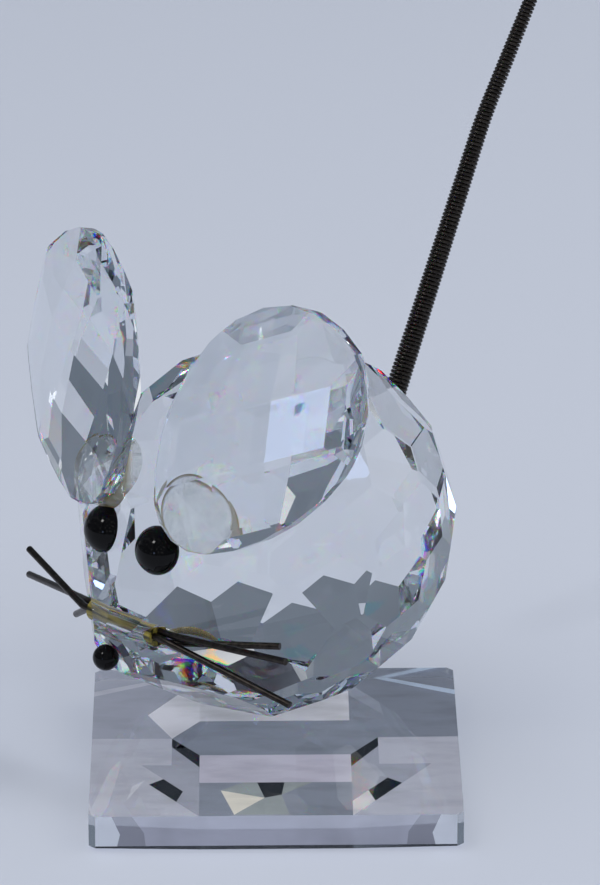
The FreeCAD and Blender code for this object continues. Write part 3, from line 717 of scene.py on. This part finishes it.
floor_mesh = bpy.data.meshes.new("floor")
floor_corners = np.array([(-1, -1, 0), (1, -1, 0), (1, 1, 0), (-1, 1, 0)]) * FLOOR_REACH
floor_corners[:, 2] -= FLOOR_DROP
floor_mesh.from_pydata(floor_corners * MM, [], [(0, 1, 2, 3)])
floor_paper, tree, output = new_material("pale_paper")
matt = add(tree, "BsdfDiffuse", {"Color": linear(FLOOR_COLOUR)})
tree.links.new(matt.outputs[0], output.inputs["Surface"])
floor = placed("floor", floor_mesh, [floor_paper])

world = bpy.data.worlds.new("room")
bpy.context.scene.world = world
world.use_nodes = True
tree = world.node_tree
tree.nodes.clear()
output = tree.nodes.new("ShaderNodeOutputWorld")
place = add(tree, "TexCoord")
height = add(tree, "SeparateXYZ", {}, {0: place.outputs["Generated"]})
rising = add(tree, "MapRange", {"From Min": ROOM_HORIZON[0], "From Max": ROOM_HORIZON[1]},
             {"Value": height.outputs["Z"]})
turned = add(tree, "VectorMath", {"operation": "ADD", 1: ROOM_SHIFT}, {0: place.outputs["Generated"]})
areas = add(tree, "TexNoise", {"Scale": ROOM_GRAIN, "Detail": 0.0}, {"Vector": turned.outputs[0]})
shade = add(tree, "ValToRGB", {}, {"Fac": areas.outputs[0]})
ramp = shade.color_ramp.elements
ramp.remove(ramp[1])
ramp[0].position, ramp[0].color = ROOM_AREAS[0][0], linear(ROOM_AREAS[0][1])
for position, colour in ROOM_AREAS[1:]:
    ramp.new(position).color = linear(colour)
path = add(tree, "LightPath")
seen = add(tree, "Background", {"Color": linear(ROOM_PALE), "Strength": 1.0})
above = add(tree, "Background", {"Strength": 1.0}, {"Color": shade.outputs[0]})
felt = add(tree, "MixShader", {}, {0: rising.outputs[0], 1: seen.outputs[0], 2: above.outputs[0]})
mixed = add(tree, "MixShader", {}, {0: path.outputs["Is Camera Ray"], 1: felt.outputs[0], 2: seen.outputs[0]})
tree.links.new(mixed.outputs[0], output.inputs["Surface"])


def soft_lamp(name, place, aim, size, power, mirrored, colour="#FFFFFF"):
    """A square soft lamp at a place in metres, turned to the point that it lights."""
    lamp = bpy.data.lights.new(name, "AREA")
    lamp.size = size
    lamp.energy = power
    lamp.color = linear(colour)[:3]
    thing = bpy.data.objects.new(name, lamp)
    towards = (Vector(aim) - Vector(place)).to_track_quat("-Z", "Y").to_matrix().to_4x4()
    thing.matrix_world = Matrix.Translation(place) @ towards
    thing.visible_glossy = mirrored
    thing.visible_transmission = mirrored
    bpy.context.scene.collection.objects.link(thing)


soft_lamp("key_lamp", place=(-0.7, -0.6, 1.2), aim=(0, 0, 0.03), size=0.25, power=3.3, mirrored=True)
soft_lamp("ceiling_lamp", place=(-0.4, 0.1, 1.3), aim=(0, 0.05, 0), size=1.0, power=7.5, mirrored=False)
soft_lamp("fill_lamp", place=(0.9, -0.1, 1.0), aim=(0, 0.05, 0), size=0.5, power=8.4, mirrored=False)
soft_lamp("window_lamp", place=(-0.583, -1.043, 0.165), aim=(0, 0, 0.06), size=0.13, power=0.24,
          mirrored=True, colour=WINDOW_BLUE)


# Camera
# It stands in front of the plate and a little to its left, and looks down on it from 21 degrees.
# Sizes are in mm, and the length of the lens is worked out from the photograph's height in pixels.

VIEW_RISE = 21.054
VIEW_YAW = 0.457
VIEW_ROLL = -0.218
VIEW_DISTANCE = 900.0
VIEW_TARGET = (3.55, 0.0, 48.51)
PHOTO_HEIGHT = 885
FOCAL_PIXELS = 6712.8
SENSOR_WIDTH = 36.0
VIEW_CLIP = (0.01, 20.0)
CLEAR_BOUNCES = 32
MIRROR_BOUNCES = 16

rise, yaw, roll = (math.radians(angle) for angle in (VIEW_RISE, VIEW_YAW, VIEW_ROLL))
ahead = Vector((math.sin(yaw) * math.cos(rise), math.cos(yaw) * math.cos(rise), -math.sin(rise)))
right = Vector((math.cos(yaw), -math.sin(yaw), 0))
above = right.cross(ahead)
tilt = np.array([[math.cos(roll), math.sin(roll)], [-math.sin(roll), math.cos(roll)]])
right, above = (Vector(row) for row in tilt @ np.array([right, above]))
lens = bpy.data.cameras.new("photo_view")
lens.sensor_width = SENSOR_WIDTH
lens.lens = FOCAL_PIXELS * SENSOR_WIDTH / PHOTO_HEIGHT
lens.clip_start, lens.clip_end = VIEW_CLIP
camera = bpy.data.objects.new("photo_view", lens)
turned = Matrix((right, above, -ahead)).transposed().to_4x4()
camera.matrix_world = Matrix.Translation((Vector(VIEW_TARGET) - ahead * VIEW_DISTANCE) * MM) @ turned
bpy.context.scene.collection.objects.link(camera)

bpy.context.scene.camera = camera

bpy.context.scene.view_settings.view_transform = "Standard"
light_paths = bpy.context.scene.cycles
light_paths.caustics_refractive = False
light_paths.caustics_reflective = False
light_paths.max_bounces = CLEAR_BOUNCES
light_paths.transmission_bounces = CLEAR_BOUNCES
light_paths.transparent_max_bounces = CLEAR_BOUNCES
light_paths.glossy_bounces = MIRROR_BOUNCES
